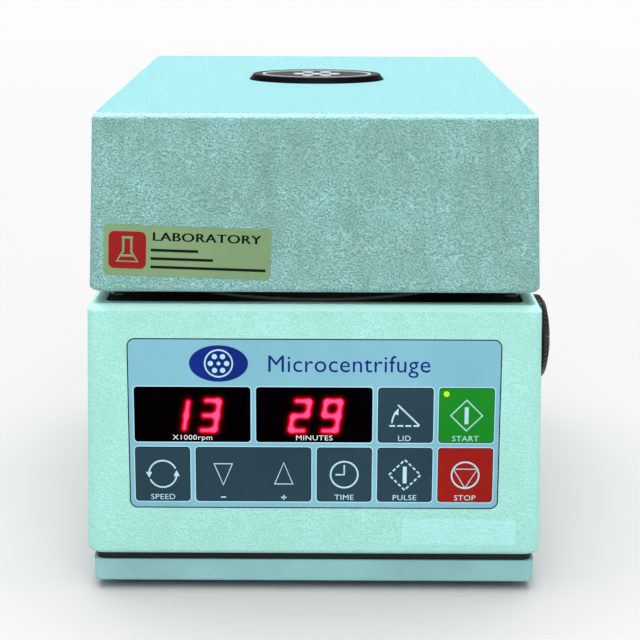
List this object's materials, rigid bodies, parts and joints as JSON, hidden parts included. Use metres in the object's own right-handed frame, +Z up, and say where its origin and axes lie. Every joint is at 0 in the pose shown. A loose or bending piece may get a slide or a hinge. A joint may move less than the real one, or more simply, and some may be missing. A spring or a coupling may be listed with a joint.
{
  "type": "laboratory centrifuge",
  "caption": "Bench microcentrifuge: drafted casing on a plinth, tall rear-hinged lid, angle rotor in a round bowl, keypad front with red digits, ribbed latch knob.",
  "frame": {"origin": "centre of the plinth's flat underside; the rubber feet stand 4 mm below it", "axes": "+Z up, -Y to the front with the keypad, +X to the right seen from the front"},
  "size_m": [0.1961, 0.277, 0.2028],
  "materials": {
    "casing_paint": "leather-grain paint on a moulded casing",
    "plinth_paint": "smooth paint",
    "deck_plastic": "fine matt sheet",
    "bowl_steel": "spun and brushed",
    "seal_rubber": "matt",
    "rotor_aluminium": "turned and anodised",
    "steel": "satin",
    "motor_steel": "satin paint",
    "motor_iron": "laminated",
    "panel_film": "printed polyester, satin",
    "key_grey": "printed polyester, satin",
    "key_green": "printed polyester, satin",
    "key_red": "printed polyester, satin",
    "window_red": "dark filter, gloss",
    "digit_glow": "lit segments",
    "led_green": "lit lens",
    "board_green": "solder mask",
    "transformer_iron": "varnished laminations",
    "knob_black": "moulded, ribbed",
    "badge_black": "gloss",
    "badge_metal": "satin",
    "label_vinyl": "printed vinyl, satin",
    "inlet_black": "moulded",
    "liner_plastic": "fine matt"
  },
  "bodies": {
    "casing": {"base_tray": "plinth_paint", "rubber_feet": "seal_rubber", "shell_screws": "steel", "base_shell": "casing_paint", "deck_plate": "deck_plastic", "deck_screws": "steel", "bowl": "bowl_steel", "bowl_seal": "seal_rubber", "shaft_boot": "seal_rubber", "motor_can": "motor_steel", "motor_end_caps": "rotor_aluminium", "motor_bearings": "steel", "stator": "motor_iron", "motor_bracket": "steel", "motor_mounts": "seal_rubber", "front_fascia": "panel_film", "switch_film": "board_green", "speed_window": "window_red", "time_window": "window_red", "speed_display": "digit_glow", "time_display": "digit_glow", "front_board": "board_green", "board_standoffs": "steel", "hinge_brackets": "steel", "hinge_rod": "steel", "knob_bush": "inlet_black", "lock_solenoid": "motor_steel", "mains_inlet": "inlet_black", "switch_bezel": "inlet_black", "transformer": "transformer_iron", "control_board": "board_green"},
    "lid": {"lid_shell": "casing_paint", "lid_liner": "liner_plastic", "liner_screws": "steel", "lid_badge": "badge_black", "badge_inlay": "badge_metal", "lid_label": "label_vinyl", "hinge_leaves": "steel", "lid_striker": "steel"},
    "rotor_set": {"drive_shaft": "steel", "rotor": "rotor_aluminium", "rotor_nut": "knob_black", "armature": "motor_iron", "motor_fan": "inlet_black"},
    "latch": {"release_knob": "knob_black", "knob_shaft": "steel", "latch_hook": "steel"},
    "lock": {"lock_plunger": "steel"},
    "fuse": {"fuse_drawer": "inlet_black"},
    "rocker": {"power_rocker": "inlet_black"},
    "adjust": {"adjust_key": "key_grey"},
    "speed_button": {"speed_key": "key_grey"},
    "time_button": {"time_key": "key_grey"},
    "pulse_button": {"pulse_key": "key_grey"},
    "stop_button": {"stop_key": "key_red"},
    "lid_button": {"lid_key": "key_grey"},
    "start_button": {"start_key": "key_green", "start_led": "led_green"}
  },
  "joints": [
    {"name": "lid_hinge", "type": "hinge", "parent": "casing", "child": "lid", "pos_m": [0, 0.1305, 0.1225], "axis": [-1, 0, 0], "range_deg": [0, 80]},
    {"name": "rotor_spin", "type": "hinge", "parent": "casing", "child": "rotor_set", "pos_m": [0, -0.04, 0.074], "axis": [0, 0, 1], "continuous": true},
    {"name": "knob_turn", "type": "hinge", "parent": "casing", "child": "latch", "pos_m": [0.073, -0.086, 0.094], "axis": [1, 0, 0], "range_deg": [0, 45]},
    {"name": "lock_slide", "type": "slide", "parent": "casing", "child": "lock", "axis": [-1, 0, 0], "range_m": [0, 0.005], "stiffness_N_per_m": 60},
    {"name": "fuse_slide", "type": "slide", "parent": "casing", "child": "fuse", "axis": [0, 0.9996, 0.0272], "range_m": [0, 0.014]},
    {"name": "power_rock", "type": "hinge", "parent": "casing", "child": "rocker", "pos_m": [-0.014, 0.13427, 0.04698], "axis": [1, 0, 0], "range_deg": [-18, 0]},
    {"name": "adjust_rock", "type": "hinge", "parent": "casing", "child": "adjust", "pos_m": [-0.0249, -0.13405, 0.04788], "axis": [0, 0.0272, 0.9996], "range_deg": [-0.7, 0.7], "stiffness_Nm_per_rad": 0.5},
    {"name": "speed_press", "type": "slide", "parent": "casing", "child": "speed_button", "axis": [0, 0.9996, -0.0272], "range_m": [0, 0.00035], "stiffness_N_per_m": 1000},
    {"name": "time_press", "type": "slide", "parent": "casing", "child": "time_button", "axis": [0, 0.9996, -0.0272], "range_m": [0, 0.00035], "stiffness_N_per_m": 1000},
    {"name": "pulse_press", "type": "slide", "parent": "casing", "child": "pulse_button", "axis": [0, 0.9996, -0.0272], "range_m": [0, 0.00035], "stiffness_N_per_m": 1000},
    {"name": "stop_press", "type": "slide", "parent": "casing", "child": "stop_button", "axis": [0, 0.9996, -0.0272], "range_m": [0, 0.00035], "stiffness_N_per_m": 1000},
    {"name": "lid_press", "type": "slide", "parent": "casing", "child": "lid_button", "axis": [0, 0.9996, -0.0272], "range_m": [0, 0.00035], "stiffness_N_per_m": 1000},
    {"name": "start_press", "type": "slide", "parent": "casing", "child": "start_button", "axis": [0, 0.9996, -0.0272], "range_m": [0, 0.00035], "stiffness_N_per_m": 1000}
  ]
}
